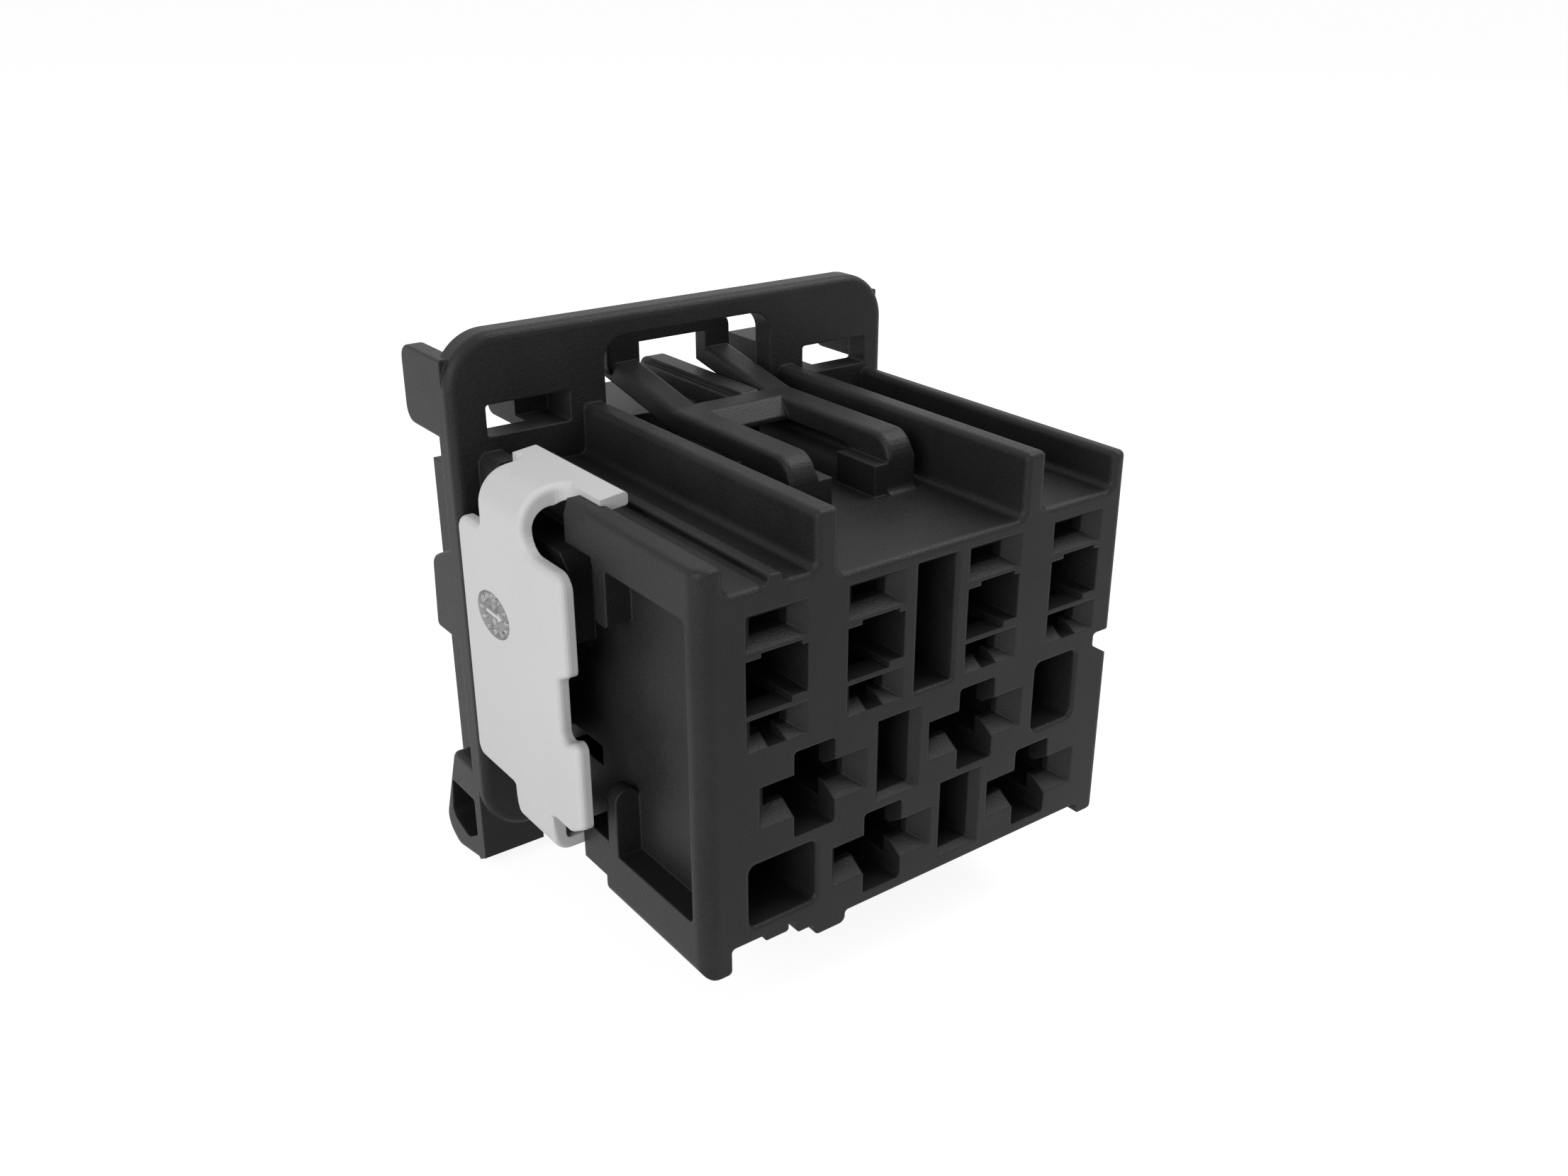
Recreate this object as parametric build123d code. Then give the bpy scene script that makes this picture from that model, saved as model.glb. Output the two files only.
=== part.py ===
from build123d import *
import os

# Moulded multi-way connector housing with a side lock. X runs across the mating face, Y from the mating face
# to the wire side, Z up. Heights below are taken from the undersides of the two front feet.

# Body
body_width = 30.6
body_length = 30.4
underside_height = 0.78
left_underside_height = 1.65
left_underside_width = 6.1
centre_floor = 22.05
left_floor = 22.7
right_floor = 22.27
origin_height = 12.25

# Side walls and rails of the top
left_wall = 1.6
right_wall = 1.05
left_wall_top = 24.3
right_wall_top = 24.55
wall_tongue_width = 1.07
rail_width = 1.5
rail_top = 25.87
left_rail_inner = -6.5
right_rail_inner = 6.95
rail_rounding = 0.4
floor_rib_width = 0.9
floor_rib_inner = -10.15
floor_rib_top = 23.2

# Feet and bottom rib
foot_width = 1.65
foot_bottom_length = 10.86
rear_foot_rise = 1.12
bottom_rib_width = 2.2
bottom_rib_centre = -6.86
bottom_rib_height = 0.1

# Tall cavities of the upper row
tall_width = 4.03
tall_height = 7.87
tall_bottom = 13.43
tall_pitch = 6.65
tall_pair_centres = (-7.15, 8.17)
tall_shelf_top = 5.77
tall_shelf_thickness = 0.4
tall_divider_top = 2.4
tall_divider_thickness = 0.42
tall_ledge_gap = 1.2
tall_ledge_drop = 0.45

# Wide cavities of the two lower rows
wide_width = 7.48
wide_slot_height = 2.63
wide_slot_bottoms = (8.53, 2.76)
wide_pair_centres = (-1.98, 3.02)
wide_pitch = 12.0
notch_width = 2.84
notch_reach = 1.38
notch_flare = 0.62

# Keying slots and pockets of the mating face: left edge, width, bottom, height, depth
long_slot = (-1.12, 3.24, 13.2, 8.29, 19.0)
middle_slot = (-3.61, 3.25, 7.21, 5.29, 9.0)
lower_slot = (1.37, 3.29, 1.47, 5.27, 9.0)
right_pocket = (8.87, 3.43, 7.67, 4.58, 9.0)
left_pocket = (-12.36, 4.54, 2.42, 3.96, 12.0)
pocket_rounding = 0.35
face_wall = 2.0
corner_rounding = 0.2

# Keying groove of the right side
groove_depth = 1.63
groove_top = 13.05
groove_bottom = 11.0
groove_point = 12.2

# Flange
flange_front = 23.57
flange_thickness = 1.73
flange_left_margin = 1.6
flange_right_margin = 0.8
flange_bottom = -2.4
flange_top = 31.25
flange_corner = 3.2
flange_edge_rounding = 0.55
side_window_height = 1.97
side_window_bottom = 24.98
left_window = (-14.57, 5.67)
right_window = (9.05, 5.45)
centre_window_left = -6.4
centre_window_right = 6.35
centre_window_top = 29.8
centre_window_corner = 1.5

# Latch
latch_arm_width = 2.05
latch_left_arm = -3.85
latch_right_arm = 3.4
latch_top = 25.6
latch_thickness = 1.3
latch_front = 7.85
latch_nose_radius = 1.5
anchor_length = 3.55
anchor_step_width = 1.0
anchor_step_top = 24.0
latch_bend = 20.0
latch_rear = 27.0
latch_rear_top = 27.3
latch_bar_front = 18.6
pad_top = 29.2
pad_arch = 28.2
pad_thickness = 1.2
pad_corner = 0.9
latch_opening_margin = 0.6

# Ears, bumps and loops behind the flange
ear_thickness = 1.2
ear_rear = 30.0
ear_bottom = 24.94
ear_top = 29.85
ear_corner = 1.0
bump_bottom = 11.84
bump_top = 18.1
bump_rear = 28.4
loop_top = 1.88
loop_bar = 2.95
loop_strip = 1.5
loop_bottom = -5.74
loop_rear = 33.4
loop_lean = 3.0
loop_corner = 1.2

# Recess of the left side
recess_depth = 1.0
recess_front = 1.3
recess_bottom = 3.25
recess_top = 21.33
recess_rear = 10.5
recess_corner = 0.35
lock_bay_floor = 1.0
post_front = 9.27
post_top = 7.4
window_front = 6.8
window_bottom = 18.0

# Side lock
lock_standoff = 1.9
lock_thickness = 1.1
lock_rear = 23.3
lock_front = 9.3
lock_notch_depth = 1.32
lock_notch_top = 14.8
lock_notch_bottom = 10.7
lock_bottom = 3.7
lock_shoulder = 20.2
lock_top = 24.15
lock_bend_radius = 2.0
lock_cutout_rear = 12.7
lock_bridge_front = 13.3
lock_bridge_rear = 20.1
lock_arm_top = 24.85
lock_arm_thickness = 0.85
lock_reach = 4.8
lock_arm_front = 11.0
lock_arm_rear = 21.2
lock_lip_bottom = 1.45
lock_lip_thickness = 1.2
lock_lip_front = 13.5
lock_lip_rear = 19.9
lock_lip_reach = 2.0
lock_travel = 0.7
running_gap = 0.15
tongue_length = 3.0
tongue_thickness = 1.1
tongue_width = 7.0
tongue_front = 12.5
tongue_heights = (17.5, 7.2)
dial_radius = 1.9
dial_y = 20.4
dial_z = 15.4
dial_depth = 0.25

half = body_width / 2
flange_left = -half - flange_left_margin
flange_right = half + flange_right_margin
lock_outer_face = -half - lock_standoff
lock_arm_inner = lock_outer_face + lock_reach
lock_lip_inner = lock_outer_face + lock_lip_reach
flange_back = flange_front + flange_thickness
left_wall_inner = -half + left_wall
right_wall_inner = half - right_wall
left_rail_outer = left_rail_inner - rail_width
right_rail_outer = right_rail_inner + rail_width


def region(x0, x1, z0, z1, corner=0.0):
    """A rectangle seen from the mating side, with rounded corners where a radius is given."""
    middle = Pos((x0 + x1) / 2, (z0 + z1) / 2)
    if corner > 0:
        return Plane.XZ * middle * RectangleRounded(x1 - x0, z1 - z0, corner)
    return Plane.XZ * middle * Rectangle(x1 - x0, z1 - z0)


def outline(points):
    """A closed outline in X and Z."""
    return Plane.XZ * make_face(Polyline(*points, close=True))


def run(profile, y0, y1):
    """A profile of the mating side carried back from y0 to y1."""
    return extrude(Pos(0, y0, 0) * profile, amount=y1 - y0, dir=(0, 1, 0))


def block(x0, x1, y0, y1, z0, z1):
    return run(region(x0, x1, z0, z1), y0, y1)


def side(points, x0, x1):
    """A closed outline in Y and Z carried from x0 to x1."""
    face = Plane.YZ * make_face(Polyline(*points, close=True))
    return extrude(Pos(x0, 0, 0) * face, amount=x1 - x0, dir=(1, 0, 0))


def plate(y0, y1, z0, z1, x0, x1, corner):
    """An upright plate in Y and Z with rounded corners."""
    face = Plane.YZ * Pos((y0 + y1) / 2, (z0 + z1) / 2) * RectangleRounded(y1 - y0, z1 - z0, corner)
    return extrude(Pos(x0, 0, 0) * face, amount=x1 - x0, dir=(1, 0, 0))


def rail(x0, x1, z0, z1, y0, y1):
    """A long bar whose two top edges and front end are rounded."""
    bar = block(x0, x1, y0, y1, z0, z1)
    top = bar.faces().sort_by(Axis.Z)[-1]
    front = top.edges().filter_by(Axis.X).sort_by(Axis.Y)[0]
    return fillet([*top.edges().filter_by(Axis.Y), front], rail_rounding)


# The body: one profile up to the flange, a plainer one behind it.
def front_profile():
    shape = region(-half, half, underside_height, centre_floor)
    shape += region(left_wall_inner, left_rail_outer + rail_width / 2, centre_floor - 1, left_floor)
    shape += region(right_rail_outer - rail_width / 2, right_wall_inner, centre_floor - 1, right_floor)
    shape += region(floor_rib_inner - floor_rib_width, floor_rib_inner, left_floor - 0.5, floor_rib_top, 0.2)
    shape += region(-half, left_wall_inner, centre_floor - 1, left_wall_top)
    shape += region(right_wall_inner, half, centre_floor - 1, right_wall_top)
    edge = left_underside_width + foot_width - half
    shape -= region(-half + foot_width, edge, 0, left_underside_height)
    shape += region(bottom_rib_centre - bottom_rib_width / 2, bottom_rib_centre + bottom_rib_width / 2,
                    bottom_rib_height, left_underside_height)
    return shape


def side_groove():
    inner = half - groove_depth
    points = [(half + 1, groove_top), (inner, groove_top), (inner, groove_point)]
    points += [(half - 0.35, groove_bottom + 0.4), (half + 1, groove_bottom - 0.4)]
    return outline(points)


def body():
    shape = run(front_profile(), 0, flange_front + 0.5)
    shape += run(region(-half, half, underside_height, centre_floor), flange_front, body_length)
    for x0, x1 in ((left_rail_outer, left_rail_inner), (right_rail_inner, right_rail_outer)):
        shape += rail(x0, x1, centre_floor - 1, rail_top, 0, flange_front + 0.5)
    # The left foot is shorter at the back, where the lock sits
    shape += block(-half, -half + foot_width, 0, foot_bottom_length, 0, underside_height + 1)
    shape += block(-half, -half + foot_width, 0, flange_front, rear_foot_rise, underside_height + 1)
    shape += block(half - foot_width, half, 0, flange_front, 0, underside_height + 1)
    return shape - run(side_groove(), -1, flange_front)


# Cavities
def tall_cavity(centre):
    """The hollow of an upper cavity; the two shelves and the ledges stay as material in the face wall."""
    x0 = centre - tall_width / 2
    x1 = centre + tall_width / 2
    hollow = run(region(x0, x1, tall_bottom, tall_bottom + tall_height), -1, body_length + 1)
    shelf = tall_bottom + tall_shelf_top
    hollow -= block(x0, x1, 0, face_wall, shelf - tall_shelf_thickness, shelf)
    divider = tall_bottom + tall_divider_top
    hollow -= block(x0, x1, 0, face_wall, divider - tall_divider_thickness, divider)
    gap = [(centre - tall_ledge_gap / 2, -1), (centre + tall_ledge_gap / 2, -1)]
    gap += [(centre + tall_ledge_gap / 2, 0), (centre + tall_ledge_gap, face_wall + 0.7)]
    gap += [(centre - tall_ledge_gap, face_wall + 0.7), (centre - tall_ledge_gap / 2, 0)]
    floor = Plane.XY * make_face(Polyline(*gap, close=True))
    return hollow + extrude(Pos(0, 0, tall_bottom - tall_ledge_drop) * floor, amount=1.0)


def wide_cavity(centre, slot_bottom):
    """The hollow of a lower cavity: a cross-shaped mouth in the face wall, a full chamber behind it."""
    slot_top = slot_bottom + wide_slot_height
    low = slot_bottom - notch_reach
    high = slot_top + notch_reach
    left = centre - wide_width / 2
    right = centre + wide_width / 2
    mouth = run(region(left, right, slot_bottom, slot_top), -1, face_wall + 0.5)
    half_notch = notch_width / 2
    mouth += run(region(centre - half_notch, centre + half_notch, low, high, corner_rounding), -1, face_wall + 0.5)
    flare = [(centre - half_notch, 0), (centre + half_notch, 0)]
    flare += [(centre + half_notch + notch_flare, face_wall + 0.1)]
    flare += [(centre - half_notch - notch_flare, face_wall + 0.1)]
    wedge = Plane.XY * make_face(Polyline(*flare, close=True))
    mouth += extrude(Pos(0, 0, low) * wedge, amount=slot_bottom - low + 0.1)
    chamber = run(region(left, right, low, high), face_wall, body_length + 1)
    return mouth + chamber


def pocket(size):
    x0, width, z0, height, depth = size
    return run(region(x0, x0 + width, z0, z0 + height, pocket_rounding), -1, depth)


def cavities():
    hollow = pocket(long_slot)
    for size in (middle_slot, lower_slot, right_pocket, left_pocket):
        hollow += pocket(size)
    for pair in tall_pair_centres:
        for step in (-0.5, 0.5):
            hollow += tall_cavity(pair + step * tall_pitch)
    for pair, slot_bottom in zip(wide_pair_centres, wide_slot_bottoms):
        for step in (-0.5, 0.5):
            hollow += wide_cavity(pair + step * wide_pitch, slot_bottom)
    return hollow


# The flange: a plate with rounded corners, two side windows and the arch that the latch passes through.
def flange():
    sheet = run(region(flange_left, flange_right, flange_bottom, flange_top, flange_corner), flange_front, flange_back)
    rim = sheet.faces().sort_by(Axis.Y)[0].edges()
    sheet = fillet(rim, flange_edge_rounding)
    for x0, width in (left_window, right_window):
        window = region(x0, x0 + width, side_window_bottom, side_window_bottom + side_window_height, corner_rounding)
        sheet -= run(window, flange_front - 1, flange_back + 1)
    arch = region(centre_window_left, centre_window_right, centre_floor - 4, centre_window_top, centre_window_corner)
    arch -= region(centre_window_left - 1, centre_window_right + 1, centre_floor - 5, centre_floor)
    return sheet - run(arch, flange_front - 1, flange_back + 1)


# The latch: two arms anchored at the front, joined by a bar and by the pad behind the flange.
def latch_arm(x0, step_inward):
    x1 = x0 + latch_arm_width
    rise = latch_rear_top - latch_top
    top = [(latch_front, centre_floor - 0.5), (latch_front, latch_top), (latch_bend, latch_top)]
    top += [(latch_rear + pad_thickness, latch_top + rise), (latch_rear + pad_thickness, latch_top + rise - latch_thickness)]
    top += [(latch_bend, latch_top - latch_thickness), (latch_front + anchor_length + 1.2, latch_top - latch_thickness)]
    top += [(latch_front + anchor_length, latch_top - latch_thickness - 0.8)]
    top += [(latch_front + anchor_length, centre_floor - 0.5)]
    arm = side(top, x0, x1)
    nose = arm.edges().filter_by(Axis.X).filter_by(lambda e: abs(e.center().Y - latch_front) < 0.01)
    arm = fillet(nose.sort_by(Axis.Z)[-1], latch_nose_radius)
    if step_inward > 0:
        step = block(x1, x1 + anchor_step_width, latch_front, latch_front + anchor_length, centre_floor - 0.5, anchor_step_top)
    else:
        step = block(x0 - anchor_step_width, x0, latch_front, latch_front + anchor_length, centre_floor - 0.5, anchor_step_top)
    return arm + step


def latch():
    left_inner = latch_left_arm + latch_arm_width
    shape = latch_arm(latch_left_arm, 1) + latch_arm(latch_right_arm, -1)
    bottom = latch_top - latch_thickness
    bar = [(latch_bar_front - latch_thickness + 0.3, bottom), (latch_bar_front - latch_thickness + 0.3, bottom + 0.3)]
    bar += [(latch_bar_front, latch_top), (latch_bend, latch_top), (latch_bend, bottom)]
    shape += side(bar, left_inner - 0.5, latch_right_arm + 0.5)
    right_edge = latch_right_arm + latch_arm_width
    pad = region(latch_left_arm - 0.3, right_edge, latch_rear_top - latch_thickness, pad_top, pad_corner)
    pad -= region(left_inner, latch_right_arm, latch_rear_top - 3, pad_arch)
    return shape + run(pad, latch_rear, latch_rear + pad_thickness)


# Ears, bumps and loops stand on the back of the flange at both sides.
def rear_fittings(mirrored):
    outer = -flange_right if mirrored else flange_left
    inner = outer + ear_thickness
    shape = plate(flange_front + 0.8, ear_rear, ear_bottom, ear_top, outer, inner, ear_corner)
    bump = [(flange_front + 1, bump_bottom), (bump_rear, bump_bottom), (bump_rear, bump_top - 2.1)]
    bump += [(flange_back, bump_top), (flange_front + 1, bump_top)]
    shape += side(bump, outer, inner)
    foot = [(flange_front + 1, loop_top), (loop_rear - loop_lean, loop_top), (loop_rear, loop_bottom)]
    foot += [(loop_rear - loop_lean, loop_bottom), (flange_back - 0.6, flange_bottom), (flange_front + 1, flange_bottom)]
    loop = side(foot, outer, inner)
    corners = loop.edges().filter_by(Axis.X).sort_by(Axis.Y)[-3:]
    loop = fillet(corners, loop_corner * 0.6)
    opening_top = loop_top - loop_bar
    hole = [(flange_back + 0.3, opening_top), (loop_rear - loop_lean - 0.3, opening_top)]
    hole += [(loop_rear - loop_lean + 0.6, loop_bottom + loop_strip), (loop_rear - loop_lean - 1.2, loop_bottom + loop_strip)]
    loop -= side(hole, outer - 1, inner + 1)
    shape += loop
    return mirror(shape, about=Plane.YZ) if mirrored else shape


# The left side: a sunk panel, a window, and the bay that the lock slides in.
def left_side_cut():
    floor = -half + recess_depth
    cut = plate(recess_front, recess_rear + 2, recess_bottom, recess_top, -half - 1, floor, recess_corner)
    cut += block(-half - 1, -half + lock_bay_floor, recess_rear, flange_front, recess_bottom, recess_top)
    cut += block(-half - 1, -half + lock_bay_floor, lock_lip_front - 0.4, flange_front, -1, recess_bottom + 0.1)
    cut -= block(-half, floor + 1, post_front, recess_rear + 1.5, recess_bottom - 1, post_top)
    cut -= block(-half, floor + 1, window_front, recess_rear, window_bottom, recess_top + 1)
    cut += block(-half - 1, floor + 0.6, window_front, post_front, window_bottom, recess_top)
    # Above the bay the wall is cut down to a short tongue
    end = lock_bridge_front - running_gap
    cut += block(-half - 1, left_wall_inner + 0.01, end, flange_front, recess_top, left_wall_top + 1)
    cut += block(-half + wall_tongue_width, left_wall_inner + 0.01, lock_arm_front + 0.4, end + 1, left_floor, left_wall_top + 1)
    for height in tongue_heights:
        gap = running_gap
        cut += block(-half - 1, lock_outer_face + lock_thickness + tongue_length + lock_travel + gap,
                     tongue_front - gap, tongue_front + tongue_width + gap,
                     height - gap, height + tongue_thickness + gap)
    return cut


def housing():
    shape = body() + flange() + rear_fittings(False) + rear_fittings(True)
    shape -= cavities()
    shape -= left_side_cut()
    shape += latch()
    margin = latch_opening_margin
    x0, width = long_slot[0], long_slot[1]
    opening = block(x0 + 0.1, x0 + width - 0.1, latch_front + anchor_length + margin, latch_bar_front - margin,
                    centre_floor - 1.5, centre_floor + 0.5)
    return shape - opening


# The side lock: a plate outside the wall, bent over its top, with an arm along the channel and a lip below.
def secondary_lock():
    outer = lock_outer_face
    inner = outer + lock_thickness
    points = [(lock_lip_rear, lock_bottom), (lock_rear - 0.6, lock_bottom), (lock_rear, lock_bottom + 0.6)]
    points += [(lock_rear, lock_shoulder), (lock_rear - 0.9, lock_shoulder + 0.8)]
    points += [(lock_bridge_rear, lock_shoulder + 1.45), (lock_bridge_rear, lock_top - lock_bend_radius)]
    points += [(lock_cutout_rear, lock_top - lock_bend_radius), (lock_cutout_rear - 1.1, lock_top - lock_bend_radius - 0.1)]
    points += [(lock_front + 0.3, lock_top - lock_bend_radius - 0.55), (lock_front, lock_top - lock_bend_radius - 1.0)]
    points += [(lock_front, lock_notch_top + 0.6), (lock_front + lock_notch_depth, lock_notch_top)]
    points += [(lock_front + lock_notch_depth, lock_notch_bottom), (lock_front, lock_notch_bottom + 1.1)]
    points += [(lock_front - 0.15, lock_bottom + 1.6), (lock_front + 0.4, lock_bottom + 0.8)]
    points += [(lock_front + 3.2, lock_bottom), (lock_lip_front + 1.3, lock_bottom)]
    shape = side(points, outer, inner)
    # The bend and the bridge over the wall
    centre_x = outer + lock_bend_radius
    centre_z = lock_top - lock_bend_radius
    ring = Plane.XZ * Pos(centre_x, centre_z) * (Circle(lock_bend_radius) - Circle(lock_bend_radius - lock_thickness))
    ring &= region(outer - 1, centre_x, centre_z, lock_top + 1)
    shape += run(ring, lock_bridge_front, lock_bridge_rear)
    shape += block(centre_x, lock_arm_inner, lock_bridge_front + 1.3, lock_bridge_rear, lock_top - lock_thickness + 0.25, lock_top)
    arm_bottom = lock_arm_top - lock_arm_thickness
    arm = block(left_wall_inner + 0.1, lock_arm_inner, lock_arm_front, lock_arm_rear, arm_bottom, lock_arm_top)
    shape += arm
    # The lip below the wall
    lip = [(lock_lip_rear, lock_bottom), (lock_lip_rear, lock_lip_bottom), (lock_lip_front, lock_lip_bottom)]
    lip += [(lock_lip_front, lock_lip_bottom + lock_lip_thickness), (lock_lip_front + 1.3, lock_lip_bottom + lock_lip_thickness)]
    lip += [(lock_lip_front + 1.3, lock_bottom)]
    shape += side(lip, outer, inner)
    shape += block(inner - 0.1, lock_lip_inner, lock_lip_front, lock_lip_front + 1.3,
                   lock_lip_bottom, lock_lip_bottom + lock_lip_thickness)
    for height in tongue_heights:
        shape += block(inner - 0.2, inner + tongue_length, tongue_front, tongue_front + tongue_width,
                       height, height + tongue_thickness)
    dial = Plane.YZ * Pos(dial_y, dial_z) * Circle(dial_radius)
    shape -= extrude(Pos(outer - 1, 0, 0) * dial, amount=1 + dial_depth, dir=(1, 0, 0))
    return shape


parts = {"housing": housing(), "secondary_lock": secondary_lock()}
os.makedirs("parts", exist_ok=True)
for name, solid in parts.items():
    export_step(Pos(0, 0, -origin_height) * solid, f"parts/{name}.step")
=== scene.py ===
import math

import bmesh
import bpy
import numpy as np
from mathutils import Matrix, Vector


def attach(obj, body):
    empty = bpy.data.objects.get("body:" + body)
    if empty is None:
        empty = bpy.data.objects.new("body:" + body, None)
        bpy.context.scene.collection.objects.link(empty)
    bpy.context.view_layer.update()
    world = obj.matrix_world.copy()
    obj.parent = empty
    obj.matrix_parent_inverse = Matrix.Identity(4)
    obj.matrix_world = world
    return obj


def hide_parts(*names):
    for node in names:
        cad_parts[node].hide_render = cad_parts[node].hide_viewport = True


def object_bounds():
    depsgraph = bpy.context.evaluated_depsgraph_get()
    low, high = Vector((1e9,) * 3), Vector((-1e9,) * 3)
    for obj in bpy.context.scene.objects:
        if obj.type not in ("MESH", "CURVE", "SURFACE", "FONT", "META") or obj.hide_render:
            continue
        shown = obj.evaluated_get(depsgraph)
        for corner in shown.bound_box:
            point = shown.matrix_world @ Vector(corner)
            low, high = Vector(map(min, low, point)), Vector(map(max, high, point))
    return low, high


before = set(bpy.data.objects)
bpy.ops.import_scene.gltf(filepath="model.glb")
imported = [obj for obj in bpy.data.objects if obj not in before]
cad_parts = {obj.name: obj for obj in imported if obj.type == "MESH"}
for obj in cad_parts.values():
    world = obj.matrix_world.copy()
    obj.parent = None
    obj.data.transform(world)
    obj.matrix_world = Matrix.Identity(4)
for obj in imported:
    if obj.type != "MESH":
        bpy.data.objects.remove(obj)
cadLow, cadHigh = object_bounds()
print("frame loaded")

mm = 0.001


class Signal:  # a socket in a formula; each operator adds one Math node
    def __init__(self, recipe, socket):
        self.recipe = recipe
        self.socket = socket

    def __add__(self, other):
        return self.recipe.math("ADD", self, other)

    def __radd__(self, other):
        return self.recipe.math("ADD", other, self)

    def __sub__(self, other):
        return self.recipe.math("SUBTRACT", self, other)

    def __rsub__(self, other):
        return self.recipe.math("SUBTRACT", other, self)

    def __mul__(self, other):
        return self.recipe.math("MULTIPLY", self, other)

    def __rmul__(self, other):
        return self.recipe.math("MULTIPLY", other, self)

    def clamped(self):
        return self.recipe.math("ADD", self, 0.0, clamp=True)


class Recipe:  # the nodes of one material or of the world
    def __init__(self, owner):
        owner.use_nodes = True
        self.owner = owner
        self.tree = owner.node_tree
        self.tree.nodes.clear()

    def make(self, kind, settings=None, values=None, out=0):
        # settings are set first, then every value is written or linked to its socket
        node = self.tree.nodes.new(kind)
        for name, value in (settings or {}).items():
            setattr(node, name, value)
        for name, value in (values or {}).items():
            if isinstance(value, Signal):
                self.tree.links.new(value.socket, node.inputs[name])
            else:
                node.inputs[name].default_value = value
        return Signal(self, node.outputs[out]) if len(node.outputs) else node

    def math(self, operation, first, second=0.0, clamp=False):
        settings = {"operation": operation, "use_clamp": clamp}
        return self.make("ShaderNodeMath", settings, {0: first, 1: second})

    def noise(self, where, size, detail=2.0, rough=0.5):
        # size is the width of one blotch in metres
        return self.make("ShaderNodeTexNoise", None,
                         {"Vector": where, "Scale": 1 / size, "Detail": detail, "Roughness": rough})

    def blend(self, share, first, second):
        # a Mix node keeps its two colours in sockets 6 and 7, and the mixed colour in output 2
        return self.make("ShaderNodeMix", {"data_type": "RGBA"}, {0: share, 6: first, 7: second}, out=2)

    def finish(self, shader):
        self.make("ShaderNodeOutputMaterial", None, {"Surface": shader})
        return self.owner


def grey(level):
    return (level, level, level, 1.0)


# edge in each finish is the paler colour painted onto edges as a highlight
housingFinish = {
    "name": "glass-filled nylon", "dark": 0.006, "light": 0.019, "edge": 0.03,
    "roughness": 0.44, "roughnessSpread": 0.2, "specular": 0.155, "rounding": 0.17 * mm,
    "grain": 0.12 * mm, "grainDepth": 0.026 * mm, "cloud": 4 * mm,
}
lockFinish = {
    "name": "satin lock plastic", "dark": 0.45, "light": 0.495, "edge": 0.55,
    "roughness": 0.5, "roughnessSpread": 0.08, "specular": 0.3, "rounding": 0.08 * mm,
    "grain": 0.25 * mm, "grainDepth": 0.001 * mm, "cloud": 7 * mm,
}
# the fourth entry sets how fast an edge turns to its painted highlight colour
shading = {"clouds": 0.8, "flecks": 0.9, "shift": 0.35, "edgeHighlightGain": 3, "edgeSamples": 6}


def mouldedPlastic(finish):
    # colour: clouds plus fine flecks, with a painted highlight that makes edges paler; normal: rounded edges
    # under an eroded grain
    recipe = Recipe(bpy.data.materials.new(finish["name"]))
    where = recipe.make("ShaderNodeTexCoord", out="Object")
    clouds = recipe.noise(where, finish["cloud"], detail=3.0)
    flecks = recipe.noise(where, finish["grain"], detail=1.0, rough=0.6)
    share = (clouds * shading["clouds"] + flecks * shading["flecks"] - shading["shift"]).clamped()
    colour = recipe.blend(share, grey(finish["dark"]), grey(finish["light"]))
    rounded = recipe.make("ShaderNodeBevel", {"samples": shading["edgeSamples"]},
                          {"Radius": finish["rounding"]})
    flat = recipe.make("ShaderNodeNewGeometry", out="True Normal")
    along = recipe.make("ShaderNodeVectorMath", {"operation": "DOT_PRODUCT"}, {0: rounded, 1: flat},
                        out="Value")
    # painted highlight: where the rounded normal turns away from the flat one, the paler edge colour is mixed
    # in
    paintedEdgeHighlight = ((1 - along) * shading["edgeHighlightGain"]).clamped()
    colour = recipe.blend(paintedEdgeHighlight, colour, grey(finish["edge"]))
    roughness = flecks * finish["roughnessSpread"] + finish["roughness"] - finish["roughnessSpread"] / 2
    normal = recipe.make("ShaderNodeBump", None,
                         {"Height": flecks, "Distance": finish["grainDepth"], "Normal": rounded})
    shader = recipe.make("ShaderNodeBsdfPrincipled", None, {
        "Base Color": colour, "Roughness": roughness, "Normal": normal,
        "Specular IOR Level": finish["specular"]})
    return recipe.finish(shader)


housingPlastic = mouldedPlastic(housingFinish)
lockPlastic = mouldedPlastic(lockFinish)
print("plastics ready")

# Solids are worked out in millimetres above the feet, then moved into the shared frame.
originHeight = 12.25
past = 1.0  # how far a cutter reaches past the surface that it opens
near = 0.001  # how far from a plane an edge may lie and still belong to it
sharpAngle = 0.5  # edges that turn less than this, in radians, are never rounded


def rounded(corners, steps=6):
    # a corner with a third value becomes an arc of that radius between its two tangent points
    table = np.array([(*corner, 0.0)[:3] for corner in corners])
    point, radius = table[:, :2], table[:, 2:]
    back, ahead = np.roll(point, 1, axis=0) - point, np.roll(point, -1, axis=0) - point
    back /= np.linalg.norm(back, axis=1, keepdims=True)
    ahead /= np.linalg.norm(ahead, axis=1, keepdims=True)
    slope = np.arccos(np.clip((back * ahead).sum(axis=1, keepdims=True), -1, 1)) / 2
    inward = (back + ahead) / np.maximum(np.linalg.norm(back + ahead, axis=1, keepdims=True), 1e-9)
    middle = point + inward * radius / np.sin(slope)
    start = point + back * radius / np.tan(slope) - middle
    end = point + ahead * radius / np.tan(slope) - middle
    span = (math.pi - 2 * slope)[:, None]
    share = np.linspace(0, 1, steps + 1)[None, :, None]
    arcs = np.sin((1 - share) * span) * start[:, None] + np.sin(share * span) * end[:, None]
    arcs = middle[:, None] + arcs / np.maximum(np.sin(span), 1e-9)
    path = arcs[(radius > 0) | (np.arange(steps + 1) == 0)]
    return path[np.linalg.norm(path - np.roll(path, 1, axis=0), axis=1) > 1e-5]


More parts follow.
